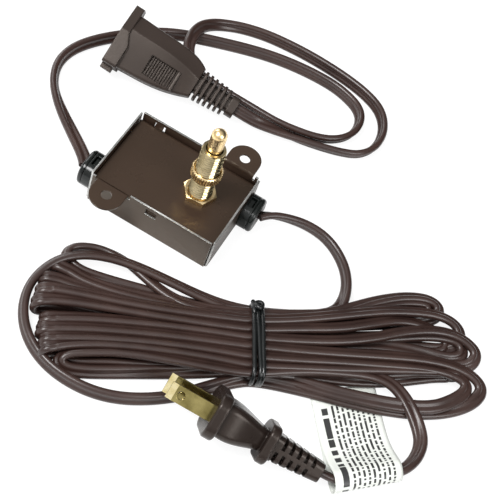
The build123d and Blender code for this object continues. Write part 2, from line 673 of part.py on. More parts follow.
def blade(side, width):
    """Brass blade with a bevelled tip and a hole, its root moulded into the plug."""
    y = side * slot_spacing / 2
    plate = slab(-blade_root, blade_length, y - blade_thickness / 2, y + blade_thickness / 2,
                 -width / 2, width / 2)
    tip = [e for e in plate.edges().filter_by(Axis.Z) if abs(e.center().X - blade_length) < 0.01]
    plate = chamfer(tip, *blade_bevel)
    hole = Pos(blade_hole_reach, y, 0) * Rot(90, 0, 0) * Cylinder(blade_hole_dia / 2, 4 * blade_thickness)
    return plate - hole


def rounded_block(size, corner, x, length):
    """A block across the local x axis with round corners and round edges, from x forwards."""
    block = extrude(across(RectangleRounded(*size, corner), x), length)
    ends = [e for e in block.edges()
            if abs(e.center().X - x) < 0.01 or abs(e.center().X - x - length) < 0.01]
    return fillet(ends, plug_edge)


def plug_relief_body(start):
    """Strain relief behind the collar: a tapered block with four rows of slots at its corners."""
    end = start - plug_relief_length
    block = loft([across(RectangleRounded(*size, relief_corner), x)
                  for size, x in zip(plug_relief, (start, end))])
    core = extrude(across(Rectangle(*plug_relief_core), end), plug_relief_length)
    long, wide = plug_relief[0]
    pitch = (plug_relief_length - plug_relief_tail - plug_slot_start) / plug_relief_slots
    for i in range(plug_relief_slots):
        for side in (-1, 1):
            for broad in (-1, 1):
                x = start - plug_slot_start - (i + (0.5 if side * broad > 0 else 0.0)) * pitch
                y0, y1 = sorted((side * plug_spine, side * long))
                z0, z1 = sorted((broad * plug_spine, broad * wide))
                block -= slab(x - plug_slot, x, y0, y1, z0, z1) - core
    return block


def plug_body():
    """Moulded plug: face flange, waisted grip, collar and slotted strain relief round the blades' roots."""
    face = rounded_block(plug_flange, plug_flange_corner, -plug_flange_length, plug_flange_length)
    grip = loft([across(RectangleRounded(long, wide, plug_corner), -plug_flange_length - back)
                 for back, long, wide in plug_sections])
    waist = -plug_flange_length - plug_sections[-1][0]
    collar = rounded_block(plug_collar, plug_collar_corner, waist - plug_collar_length, plug_collar_length)
    body = face + grip + collar + plug_relief_body(waist - plug_collar_length)
    return plug_seat * (body - blade(1, blade_narrow) - blade(-1, blade_wide))


def hank_frame(station, offset):
    """Plane across the hank at a station, its x axis sideways and its y axis up."""
    angle = math.radians(hank_angle)
    along = (math.cos(angle), math.sin(angle))
    x = hank_start[0] + station * along[0] - offset * along[1]
    y = hank_start[1] + station * along[1] + offset * along[0]
    return Plane(origin=(x, y, 0), x_dir=(-along[1], along[0], 0), z_dir=(along[0], along[1], 0))


def supply_cord_hank():
    """Outer shape of the tied hank: narrow at the tie, fanned out at both ends."""
    sections = []
    for station, offset, width, height in hank_sections:
        plane = hank_frame(station, offset)
        outline = RectangleRounded(width, height, hank_corner)
        sections.append(plane.location * Pos(0, hank_lift + height / 2) * outline)
    return loft(sections)


def hank_tie():
    """Black band doubled round the middle of the hank."""
    station, offset, width, height = next(s for s in hank_sections if s[0] == tie_station)
    plane = hank_frame(station - tie_width / 2, offset)
    outer = RectangleRounded(width + 2 * tie_thickness, height + 2 * tie_thickness,
                             hank_corner + tie_thickness)
    band = plane.location * Pos(0, hank_lift + height / 2) * outer
    return extrude(band, tie_width) - supply_cord_hank()


def cord_tag():
    """Flag tag folded round the cord, its two layers stuck together into one stiff sheet."""
    first, last = Vector(*supply_tail_route[-1]), Vector(*plug_cord_in[0])
    along = (last - first).normalized()
    middle = (first + last) / 2
    plane = Plane(origin=middle - along * tag_along / 2, x_dir=Vector(0, 0, 1).cross(along), z_dir=along)
    inner = cord_dia / 2 + tag_loop_gap
    outer = inner + tag_sheet
    flag = Pos(-tag_reach / 2, -outer + tag_sheet / 2) * Rectangle(tag_reach, tag_sheet)
    profile = (Circle(outer) + flag) - Circle(inner)
    return extrude(plane.location * profile, tag_along)


nodes = {
    "box_tray": box_tray(),
    "cover_plate": cover_plate(),
    "switch_neck": switch_neck(),
    "lock_washer": lock_washer(),
    "hex_nut": hex_nut(),
    "knurled_nut": knurled_nut(),
    "switch_housing": switch_housing(),
    "housing_base": housing_base(),
    "terminal_line": terminal(1),
    "terminal_load": terminal(-1),
    "plunger": plunger(),
    "contact_bridge": contact_bridge(),
    "return_spring": return_spring(),
    "strain_relief_supply": strain_relief(),
    "strain_relief_outlet": half_turn(strain_relief()),
    "supply_line_lead": supply_line_lead(),
    "supply_neutral_lead": supply_neutral_lead(),
    "outlet_line_lead": outlet_line_lead(),
    "outlet_neutral_lead": outlet_neutral_lead(),
    "crimp_sleeve": crimp_sleeve(),
    "outlet_cord": tube(bushing_exit(-1) + outlet_route + outlet_cord_in, cord_dia, "outlet_cord"),
    "receptacle_body": receptacle_body(),
    "receptacle_contact_narrow": receptacle_contact(1, slot_narrow),
    "receptacle_contact_wide": receptacle_contact(-1, slot_wide),
    "supply_cord_lead": tube(bushing_exit(1) + supply_lead_route, cord_dia, "supply_cord_lead"),
    "supply_cord_hank": supply_cord_hank(),
    "supply_cord_loop": tube(supply_loop_route, cord_dia, "supply_cord_loop"),
    "supply_cord_tail": tube(supply_tail_route + plug_cord_in, cord_dia, "supply_cord_tail"),
    "hank_tie": hank_tie(),
    "cord_tag": cord_tag(),
    "plug_body": plug_body(),
    "plug_blade_narrow": plug_seat * blade(1, blade_narrow),
    "plug_blade_wide": plug_seat * blade(-1, blade_wide),
}

os.makedirs("parts", exist_ok=True)
for name, solid in nodes.items():
    export_step(solid, f"parts/{name}.step")
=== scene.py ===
import bpy
import bmesh
import math
from mathutils import Matrix, Vector


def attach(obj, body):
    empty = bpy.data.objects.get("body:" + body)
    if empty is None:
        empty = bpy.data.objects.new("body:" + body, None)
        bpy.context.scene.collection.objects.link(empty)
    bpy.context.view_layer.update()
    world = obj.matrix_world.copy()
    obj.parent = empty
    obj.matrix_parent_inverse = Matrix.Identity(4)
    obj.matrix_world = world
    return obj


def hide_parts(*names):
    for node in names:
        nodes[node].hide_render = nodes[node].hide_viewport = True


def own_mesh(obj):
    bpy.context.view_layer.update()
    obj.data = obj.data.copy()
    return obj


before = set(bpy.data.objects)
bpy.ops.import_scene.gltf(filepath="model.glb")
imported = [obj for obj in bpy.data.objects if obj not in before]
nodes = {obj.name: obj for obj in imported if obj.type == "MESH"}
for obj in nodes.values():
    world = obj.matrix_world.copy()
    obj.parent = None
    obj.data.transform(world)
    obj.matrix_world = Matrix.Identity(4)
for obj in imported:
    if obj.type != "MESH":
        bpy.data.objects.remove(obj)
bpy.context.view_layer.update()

# Studio: a white sweep under the object, in a room that is brightest above the camera, with three soft boxes.
# To the camera the floor glows a little and the room is plain white, so that only contact shadows stay.
floor_half = 3.0
floor_white = 0.86
floor_glow = 1.1
glow_share = 0.8


def new_object(name, data):
    """An object that shows this data, linked into the scene."""
    made = bpy.data.objects.new(name, data)
    bpy.context.collection.objects.link(made)
    return made


floor_mesh = bpy.data.meshes.new("floor")
floor_corners = [(-floor_half, -floor_half, 0), (floor_half, -floor_half, 0), (floor_half, floor_half, 0),
                 (-floor_half, floor_half, 0)]
floor_mesh.from_pydata(floor_corners, [], [(0, 1, 2, 3)])
floor = new_object("floor", floor_mesh)
floor_paint = bpy.data.materials.new("white_sweep")
floor_paint.use_nodes = True
tree = floor_paint.node_tree
tree.nodes.clear()
matt = tree.nodes.new("ShaderNodeBsdfDiffuse")
matt.inputs["Color"].default_value = (floor_white, floor_white, floor_white, 1)
glow = tree.nodes.new("ShaderNodeEmission")
glow.inputs["Strength"].default_value = floor_glow
ray = tree.nodes.new("ShaderNodeLightPath")
share = tree.nodes.new("ShaderNodeMath")
share.operation = "MULTIPLY"
share.inputs[1].default_value = glow_share
blend = tree.nodes.new("ShaderNodeMixShader")
out = tree.nodes.new("ShaderNodeOutputMaterial")
tree.links.new(ray.outputs["Is Camera Ray"], share.inputs[0])
tree.links.new(share.outputs[0], blend.inputs[0])
tree.links.new(matt.outputs[0], blend.inputs[1])
tree.links.new(glow.outputs[0], blend.inputs[2])
tree.links.new(blend.outputs[0], out.inputs["Surface"])
floor_mesh.materials.append(floor_paint)

room_brightest = (-0.30, -0.50, 0.80)
room_dark = 0.07
room_dark_at = 0.05
room_white_at = 0.95
world = bpy.data.worlds.new("room")
bpy.context.scene.world = world
world.use_nodes = True
tree = world.node_tree
tree.nodes.clear()
room = tree.nodes.new("ShaderNodeBackground")
room.inputs["Strength"].default_value = 1.0
towards = tree.nodes.new("ShaderNodeTexCoord")
facing = tree.nodes.new("ShaderNodeVectorMath")
facing.operation = "DOT_PRODUCT"
facing.inputs[1].default_value = room_brightest
shade = tree.nodes.new("ShaderNodeValToRGB")
shade.color_ramp.elements[0].position = room_dark_at
shade.color_ramp.elements[0].color = (room_dark, room_dark, room_dark, 1)
shade.color_ramp.elements[1].position = room_white_at
shade.color_ramp.elements[1].color = (1.0, 1.0, 1.0, 1)
tree.links.new(towards.outputs["Generated"], facing.inputs[0])
tree.links.new(facing.outputs["Value"], shade.inputs["Fac"])
tree.links.new(shade.outputs["Color"], room.inputs["Color"])
white = tree.nodes.new("ShaderNodeBackground")
white.inputs["Color"].default_value = (1, 1, 1, 1)
white.inputs["Strength"].default_value = 1.0
ray = tree.nodes.new("ShaderNodeLightPath")
blend = tree.nodes.new("ShaderNodeMixShader")
out = tree.nodes.new("ShaderNodeOutputWorld")
tree.links.new(ray.outputs["Is Camera Ray"], blend.inputs[0])
tree.links.new(room.outputs[0], blend.inputs[1])
tree.links.new(white.outputs[0], blend.inputs[2])
tree.links.new(blend.outputs[0], out.inputs["Surface"])

# Each soft box has a name, a place and a width in metres, and its watts. All three face the object.
soft_boxes = [("key", (-0.38, -0.42, 0.95), 0.40, 12.0), ("fill", (0.75, -0.35, 0.6), 0.5, 5.0),
              ("back", (-0.75, 0.55, 0.45), 0.5, 3.0)]
for name, place, width, watts in soft_boxes:
    lamp = bpy.data.lights.new(name, "AREA")
    lamp.size = width
    lamp.energy = watts
    soft_box = new_object(name, lamp)
    soft_box.location = place
    soft_box.rotation_euler = Vector(place).to_track_quat("Z", "Y").to_euler()

# The camera was fitted to the photograph. Its lens and sensor are in millimetres, its place is in metres,
# and its axes point right, up and back.
camera_lens = 97.8
camera_sensor = 36.0
camera_place = (0.09004, -0.33014, 0.44357)
camera_right = (0.85826, 0.45435, 0.23865)
camera_up = (-0.50492, 0.66433, 0.55113)
camera_back = (0.09186, -0.59352, 0.79958)
camera_data = bpy.data.cameras.new("camera")
camera_data.sensor_fit = "HORIZONTAL"
camera_data.sensor_width = camera_sensor
camera_data.lens = camera_lens
camera = new_object("camera", camera_data)
camera_axes = Matrix((camera_right, camera_up, camera_back)).transposed().to_4x4()
camera.matrix_world = Matrix.Translation(camera_place) @ camera_axes
bpy.context.scene.camera = camera
bpy.context.scene.view_settings.view_transform = "Standard"

# Supply cord: one length of brown flat twin cord, two round insulated strands joined by a thin web.
# It leaves the box by its bushing, is folded into a tied hank with one turn outside it, and ends in the plug.
# Control points in millimetres: x, y, z, and the tilt of the flat side in degrees.
supply_points = [
    # out of the bushing, up on its edge and round to the hank
    (35.0, 11.0, 6.7, 160), (36.4, 12.8, 6.7, 140), (40.0, 15.9, 6.4, 122), (43.8, 18.0, 6.0, 114),
    (47.8, 19.8, 5.4, 106), (52.1, 21.2, 4.8, 100), (56.8, 21.9, 4.2, 96), (61.6, 21.7, 3.7, 92),
    (66.3, 20.3, 3.3, 88), (70.7, 17.8, 3.0, 84), (74.7, 14.5, 2.9, 80), (78.1, 10.3, 2.9, 76),
    (80.7, 5.2, 3.0, 68), (82.2, -0.6, 3.2, 50), (82.3, -7.6, 3.4, 20), (77.1, -15.1, 3.6, 0),
    (65.8, -23.1, 4, 0), (54.2, -30.1, 4.6, 10),
    # turn outside the hank
    (43.9, -34.1, 4.8, 20), (33.6, -36.2, 5, 30), (20.7, -37.8, 5.4, 35), (8, -39.6, 5.8, 35),
    (-3.2, -42.6, 6.2, 35), (-12.5, -47.6, 6.2, 40), (-19.4, -54.6, 5.6, 50), (-22.7, -63.3, 4.4, 62),
    (-22.6, -72.3, 3.4, 70), (-18.9, -81.3, 2.9, 72), (-12, -89.1, 2.9, 74), (-2.8, -94.4, 2.9, 74),
    (7.7, -96.6, 2.9, 74), (19.4, -95.9, 2.9, 74), (30.1, -92.2, 2.9, 74), (40.1, -85.6, 2.9, 74),
    (48.5, -77.6, 2.8, 70), (56.2, -67.8, 2.7, 50), (62.8, -59.6, 2.6, 30), (69.2, -54.2, 2.6, 20),
    # lowest right turn out
    (89.2, -46.2, 2.4, 31), (105.3, -41, 2.6, 24), (121.3, -34.3, 2.7, 21), (133.7, -27, 2.8, 20),
    (142.7, -18.7, 3, 20),
    # lowest right turn end
    (147.6, -10.4, 3.4, 22), (147.4, -4.5, 4.2, 25),
    # lowest right turn back
    (141.3, -2.5, 5.4, 29), (131.6, -4.4, 6.6, 31), (120, -10.1, 7.6, 32), (105.7, -19.2, 8.2, 32),
    (91.8, -28, 8.5, 32), (78, -36.5, 8.7, 32), (62.7, -45.1, 8.7, 32),
    # fourth finger
    (46.8, -53.3, 8.5, 32), (33, -60.3, 8.1, 32), (19.7, -67.6, 7.7, 32), (6.7, -75.2, 7.3, 32),
    (-3.2, -81.8, 7.1, 25), (-4.9, -83.1, 7.1, 15), (-8.6, -85.9, 7.2, 15), (-8.6, -85.9, 2.1, 15),
    (-4.1, -82.5, 2.1, 15), (7.5, -74.9, 2.0, -10), (20.8, -67.6, 2, -10), (34.6, -60.7, 2.2, -10),
    (49, -54.7, 2.4, -10), (65.5, -50.5, 2.6, -10),
    # second right turn out
    (91.7, -44.0, 3.6, 27), (107, -39.2, 4.8, 23), (121.3, -33.2, 5.2, 21), (133, -26.4, 5.3, 20),
    (139, -18.6, 5.3, 21),
    # second right turn end
    (142.4, -11.2, 5.4, 25), (140, -7, 5.8, 29),
    # second right turn back
    (131.1, -8.5, 6.4, 31), (121.6, -13.4, 7.2, 32), (107.3, -22.5, 8, 32), (93.3, -31.2, 8.4, 32),
    (79.8, -40, 8.6, 32), (64.9, -49.2, 8.7, 32),
    # fifth finger
    (48.6, -56.6, 8.5, 32), (34.8, -63.4, 8.1, 32), (21.5, -70.6, 7.7, 32), (8.7, -78.4, 7.3, 32),
    (-1.1, -85.1, 7.1, 25), (-2, -85.8, 7.1, 15), (-5.6, -88.6, 7.2, 15), (-5.6, -88.6, 2.1, 15),
    (-1.2, -85.1, 2.1, 15), (9.5, -78.3, 2.0, -10), (22.6, -70.7, 2.2, -10), (36.3, -64, 3, -10),
    (50.7, -58.5, 4.2, -10), (66.3, -53.3, 5.2, -10),
    # inner right turn out
    (86.5, -40.1, 3, 20), (100.4, -32.6, 2.6, 31), (114, -23.4, 2.6, 27), (125.1, -13.2, 2.6, 20),
    # inner right turn end
    (131.9, -7.1, 2.4, 14), (134.9, -5.3, 2.4, 14), (135.7, -4.8, 3.4, 16), (135.8, -4.7, 4.8, 20),
    (134.9, -5.3, 5.8, 26),
    # inner right turn back
    (132.6, -6.9, 5.9, 31), (125.7, -11.9, 6.6, 32), (111.7, -21.8, 7.4, 32), (98.1, -31.6, 8, 32),
    (81.2, -42.9, 8.4, 32), (66.7, -52.6, 8.6, 32),
    # sixth finger
    (50.2, -59.5, 8.5, 32), (36.3, -66, 8.1, 32), (22.8, -72.9, 7.7, 32), (11.6, -79.6, 7.3, 32),
    (4.2, -85.2, 7.1, 32), (0.6, -88.5, 7.1, 25), (-0, -89.1, 7.1, 15), (-3.3, -92.3, 7.2, 15),
    (-3.3, -92.3, 2.1, 15), (0.7, -88.5, 2.1, 15), (8.6, -87.0, 2.2, -20), (18.2, -80.9, 2.8, -44),
    (29, -74.2, 2.8, -40), (43.8, -64.4, 2.6, -26), (63.4, -48.6, 2.6, -10),
    # outer upper right turn out
    (88.2, -25.7, 2.2, 0), (106, -14.9, 2, 0), (122.7, -6.2, 2.2, 10), (134.3, -2, 3, 30),
    # outer upper right turn end
    (139.5, 1.9, 4.4, 29), (139.5, 7.8, 5.6, 29),
    # outer upper right turn back
    (133.9, 9.7, 6.6, 31), (126.6, 9, 7.2, 32), (118.1, 4.7, 7.6, 32), (108.1, -4.2, 8, 32),
    (100.6, -13, 8.3, 32), (89.4, -23.1, 8.5, 32), (75.9, -32.5, 8.7, 32), (61, -41.7, 8.7, 32),
    # third finger
    (44.7, -49.5, 8.5, 32), (30.9, -56.5, 8.1, 32), (17.5, -63.9, 7.7, 32), (4.4, -71.5, 7.3, 32),
    (-5.5, -78.2, 7.1, 25), (-6.4, -78.9, 7.1, 15), (-10.1, -81.7, 7.2, 15), (-10.1, -81.7, 2.1, 15),
    (-5.6, -78.3, 2.1, 15), (-3.5, -77.3, 2.0, -10), (10.4, -68.8, 2.0, -10), (25.9, -61.1, 2, -10),
    (43.4, -52.5, 2.4, -10), (61.4, -42.6, 2.6, -10),
    # inner upper right turn out
    (86.2, -21.4, 2, 0), (104.7, -12, 2, 0), (119.5, -4.2, 2.2, 10),
    # inner upper right turn end
    (127, 0.2, 2.8, 32), (128, 4.9, 3.6, 29), (124.8, 7.7, 4.4, 29),
    # inner upper right turn back
    (118.9, 7.2, 5.2, 31), (111.6, 5.3, 6, 32), (104.1, 0.5, 7, 32), (96.1, -8.1, 8, 32),
    (86.8, -17.8, 8.5, 32), (73.5, -27.6, 8.7, 32), (59.2, -38.4, 8.7, 32),
    # second finger
    (43.2, -46.9, 8.6, 32), (29.2, -53.7, 8.5, 32), (15.2, -60.4, 8.5, 32), (4.8, -65.3, 8.5, 32),
    (-3.7, -69.5, 8.5, 32), (-10.6, -73.3, 8.5, 25), (-12.7, -74.9, 8.6, 15), (-16.3, -77.7, 8.7, 15),
    (-16.3, -77.7, 2.1, 15), (-11.9, -74.3, 2.1, 15), (-6.6, -72.5, 2.0, -10), (8.1, -65, 2.0, -10),
    (24, -57.9, 2, -10), (41.6, -49.4, 2.4, -10), (59.5, -39.1, 2.6, -10),
    # wide upper right turn out
    (85, -18.9, 2, 0), (103.5, -9.4, 2, 0), (118.5, -1.9, 2.2, 10), (128, 3.1, 3, 30),
    # wide upper right turn end
    (131.3, 8.7, 4, 29), (129.3, 13.9, 5.2, 29),
    # wide upper right turn back
    (123.9, 15.5, 6, 31), (116.2, 13.2, 6.8, 32), (106.9, 7.3, 7.4, 32), (97.1, -0.1, 7.8, 32),
    (84.3, -12.3, 8.4, 32), (71.6, -23.9, 8.6, 32), (57.4, -34.9, 8.6, 32),
    # first finger
    (41.4, -43.6, 8.6, 32), (27.5, -50.8, 8.5, 32), (13.5, -57.5, 8.5, 32), (2.9, -62.1, 8.5, 32),
    (-6, -65.9, 8.5, 32), (-13.3, -69.2, 8.5, 25), (-14.2, -69.9, 8.5, 15), (-17.8, -72.7, 8.6, 15),
    (-17.8, -72.7, 2.6, 15), (-13.4, -69.2, 2.6, 15), (-5.4, -67.5, 3, -10), (8.6, -62.7, 3.4, -10),
    (27, -56, 4, -10), (46.1, -50.5, 5, -10), (62.2, -45.8, 5.6, -10),
    # middle upper right turn out
    (86.8, -24.5, 4.6, 0), (103.8, -12, 4.4, 0), (119, -4.7, 4, 10), (130.4, -1.1, 3.8, 30),
    # middle upper right turn end
    (135, 3.9, 4.2, 29), (132.4, 8.3, 5, 29),
    # middle upper right turn back
    (126.2, 7.6, 5.2, 32), (117.5, 2.8, 5.4, 20), (105.7, -6.9, 5.4, 10), (88.8, -19.7, 5.4, 10),
    (75, -28.8, 5.6, 10), (59.5, -37.3, 5.6, 10),
    # half-hidden finger
    (41.3, -42.4, 6.2, 15), (23.1, -50.1, 6, 20), (5, -57.5, 5.8, 25), (-8.2, -61.6, 5.6, 25),
    (-14.4, -63.1, 6.0, 20), (-15.7, -63.7, 6.2, 15), (-19.9, -65.7, 6.4, 15), (-19.9, -65.7, 2.1, 15),
    (-14.8, -63.3, 2.1, 15), (-8.3, -62.6, 2.0, -10), (5.9, -57.7, 2.0, -10), (24.7, -51.3, 2, -10),
    (42.6, -42.9, 2.4, -10), (57.6, -35.4, 2.6, -10),
    # top right turn out
    (83, -14.6, 2.0, 0), (99.6, -0.9, 2, 10), (111.6, 8.1, 2.6, 30),
    # top right turn end
    (118.3, 14.7, 3.4, 29), (117.7, 19.5, 4.4, 29),
    # top right turn back
    (112.4, 20, 5.2, 31), (105.5, 16.2, 5.6, 32), (98.7, 10.4, 5.6, 32), (91.4, 2.2, 5.4, 25),
    (83.6, -8.8, 5.4, 15), (71.3, -21.2, 5.4, 10), (57.7, -33.9, 5.6, 10),
    # hidden finger
    (40.5, -40.9, 6, 15), (22.1, -48.2, 5.8, 20), (5.5, -54.5, 5.6, 25), (-6.4, -57.2, 5.4, 25),
    (-12.6, -57.2, 5.8, 20), (-14.6, -57.5, 6.0, 15), (-19.2, -58.1, 6.2, 15), (-19.2, -58.1, 2.1, 15),
    (-13.6, -57.3, 2.1, 15), (-8.4, -58.2, 2.0, -10), (4.8, -54.3, 2.0, -10), (22.7, -47.8, 2.0, -10),
    (40.8, -39.6, 2.2, -10), (55.7, -32, 2.6, -10),
    # second top right turn out
    (81.9, -12.5, 2.0, 0), (97.2, -0.7, 2.0, 10), (108.9, 6.8, 2.4, 30),
    # second top right turn end
    (114.4, 12.2, 3, 29), (115.4, 16.4, 3.6, 29), (112.2, 18.2, 4, 29),
    # second top right turn back
    (107, 15.2, 4.3, 31), (101.4, 10.7, 4.4, 32), (93.6, 2.1, 4.6, 32), (85.6, -7.9, 5, 20),
    (70.9, -21.1, 6.4, 15), (56, -31.4, 7, 20),
    # wide left turn
    (43.6, -38.4, 6.4, 20), (32.7, -42.8, 5.4, 25), (23.2, -43.4, 4.6, 30), (14.2, -41.8, 4.2, 35),
    (2.6, -39.2, 3.8, 45), (-6.7, -39, 3.4, 55), (-14.2, -41.7, 3.2, 60), (-19.4, -46, 3, 62),
    (-19.4, -50.4, 2.9, 62), (-15.5, -53.2, 2.8, 50), (-9.9, -53.7, 2.6, 35), (-0.1, -51, 2.4, 20),
    (14.6, -45.7, 2.2, 0), (28.3, -41.7, 2.2, 0), (41.4, -36.6, 2.2, 0), (54.2, -29, 2.4, 0),
    # hidden right turn
    (72, -32, 2.2, 0), (86, -33.5, 2.2, 0), (103.8, -29.2, 2.6, 20), (114, -22.9, 2.7, 30),
    (123.7, -14.4, 2.7, 30), (129.3, -9.6, 2.6, 22), (132.4, -7.3, 2.4, 18), (133, -6.9, 3.2, 20),
    (133.1, -6.8, 4.2, 22), (132.4, -7.3, 5, 26), (130.2, -8.6, 5, 28), (122.7, -13.8, 5.2, 20),
    (110.8, -22.9, 5, 10), (99, -31.3, 5, 0), (82, -42, 5.2, 0), (66.2, -51.5, 5.6, 0),
    # bottom left turn
    (54.5, -61.1, 3.6, -10), (43.5, -68.8, 2.6, -30), (31.1, -77.8, 2.7, -50), (20.4, -85.7, 2.8, -58),
    (13, -90.7, 2.9, -58), (8, -93.3, 3.2, -54), (4.6, -93, 4.2, -46), (4, -90.6, 5.4, -40),
    (6.4, -87.6, 6.4, -36), (11.4, -84, 7, -32), (18.6, -78.9, 7.4, -32), (27.8, -74.1, 7.8, -32),
    (38.2, -69.5, 8.2, -32), (51.7, -63.8, 8.5, -32), (67, -56.5, 8.5, -32),
    # end of the cord
    (81.8, -43.8, 8, -32), (95.4, -34.7, 7.4, -28), (106, -28.5, 7, -22), (114.1, -26.5, 6.6, -14),
    (120.9, -28.3, 6.2, -4), (127.6, -32.8, 5.6, 8), (133.2, -37.9, 4.6, 20),
    # through the tag and into the plug
    (136.1, -42.9, 4.2, 30), (136.5, -49.9, 4, 38), (134.2, -56.6, 4, 45), (129.4, -61.3, 4, 51),
    (119.8, -70.7, 4.1, 51), (115.0, -75.45, 4.3, 51), (107.2, -76.55, 5.8, 51)]
# The cord's section in metres: a strand's radius, its distance from the middle and half the web's thickness.
strand_radius = 0.00148
strand_offset = 0.00138
web_half = 0.00104
lobe_points = 12
# A fold's rounding as a share of its height, the level share below which a steep stretch keeps the direction
# of the one before it, and how often the twist is evened out.
fold_share = 0.29
steep_limit = 0.35
twist_passes = 12


def round_folds(points):
    """The same points with every straight drop at a finger's end turned into a round fold."""
    rounded = []
    for i, (x, y, z, tilt) in enumerate(points):
        if 0 < i < len(points) - 1 and (x, y) == points[i + 1][:2]:
            low = points[i + 1][2]
            quarter = fold_share * (z - low)
            inward = (Vector(points[i - 1][:2]) - Vector((x, y))).normalized() * quarter
            rounded += [(x + inward.x, y + inward.y, z, tilt), (x, y, z - quarter, tilt),
                        (x, y, low + quarter, tilt), (x + inward.x, y + inward.y, low, tilt)]
        elif i == 0 or (x, y) != points[i - 1][:2]:
            rounded.append((x, y, z, tilt))
    return rounded


def follow(points):
    """The smooth line that a cord's control points give, and the tilt along it."""
    curve = bpy.data.curves.new("line", "CURVE")
    curve.dimensions = "3D"
    curve.resolution_u = 8
    spline = curve.splines.new("NURBS")
    spline.points.add(len(points) - 1)
    for control, point in zip(spline.points, points):
        control.co = (point[0] / 1000, point[1] / 1000, point[2] / 1000, 1)
    spline.order_u = 3
    spline.use_endpoint_u = True
    holder = bpy.data.objects.new("line", curve)
    mesh = bpy.data.meshes.new_from_object(holder)
    line = [v.co.copy() for v in mesh.vertices]
    bpy.data.objects.remove(holder)
    bpy.data.curves.remove(curve)
    bpy.data.meshes.remove(mesh)
    tilts = []
    # The spline's spans start and end half-way between its points, so the tilt does so too.
    for i in range(len(line)):
        at = min(max(i * (len(points) - 2) / (len(line) - 1) + 0.5, 0), len(points) - 1.001)
        low = int(at)
        tilts.append(points[low][3] + (points[low + 1][3] - points[low][3]) * (at - low))
    return line, tilts


def across_line(line, tilts):
    """The direction of a flat cord's wide side at each point of its line, with its twist evened out."""
    wide = []
    for i in range(len(line)):
        along = (line[min(i + 1, len(line) - 1)] - line[max(i - 1, 0)]).normalized()
        flat = Vector((-along.y, along.x, 0))
        if flat.length < steep_limit and wide:
            side = wide[-1] - along * wide[-1].dot(along)
        else:
            flat.normalize()
            tilt = math.radians(tilts[i])
            side = flat * math.cos(tilt) + along.cross(flat) * math.sin(tilt)
        if wide and side.dot(wide[-1]) < 0:
            side = -side
        wide.append(side.normalized())
    for turn in range(twist_passes):
        before = wide[:1] + wide[:-1]
        after = wide[1:] + wide[-1:]
        wide = [(a + b + c).normalized() for a, b, c in zip(before, wide, after)]
    return wide


def twin_section():
    """Outline of flat twin cord: two round strands with a groove between them, (wide, thick)."""
    reach = math.acos(-(1 - (web_half / strand_radius) ** 2) ** 0.5)
    lobe = [-reach + 2 * reach * i / (lobe_points - 1) for i in range(lobe_points)]
    right_lobe = [(strand_offset + strand_radius * math.cos(a), strand_radius * math.sin(a)) for a in lobe]
    return right_lobe + [(-x, -y) for x, y in right_lobe]


def smooth(mesh, sharp):
    """Smooth shading, with a hard edge where two faces meet at more than this angle in degrees."""
    for polygon in mesh.polygons:
        polygon.use_smooth = True
    mesh.set_sharp_from_angle(angle=math.radians(sharp))


def twin_cord(name, points):
    """A flat twin cord swept along its line, and that line."""
    line, tilts = follow(points)
    wide = across_line(line, tilts)
    section = twin_section()
    count = len(section)
    verts, faces = [], []
    for i, point in enumerate(line):
        along = (line[min(i + 1, len(line) - 1)] - line[max(i - 1, 0)]).normalized()
        side = (wide[i] - along * wide[i].dot(along)).normalized()
        thick = along.cross(side)
        verts += [point + side * x + thick * y for x, y in section]
    for i in range(len(line) - 1):
        for j in range(count):
            k = (j + 1) % count
            faces.append((i * count + j, i * count + k, (i + 1) * count + k, (i + 1) * count + j))
    faces.append(tuple(reversed(range(count))))
    faces.append(tuple(range((len(line) - 1) * count, len(line) * count)))
    mesh = bpy.data.meshes.new(name)
    mesh.from_pydata(verts, [], faces)
    smooth(mesh, sharp=50)
    return new_object(name, mesh), line


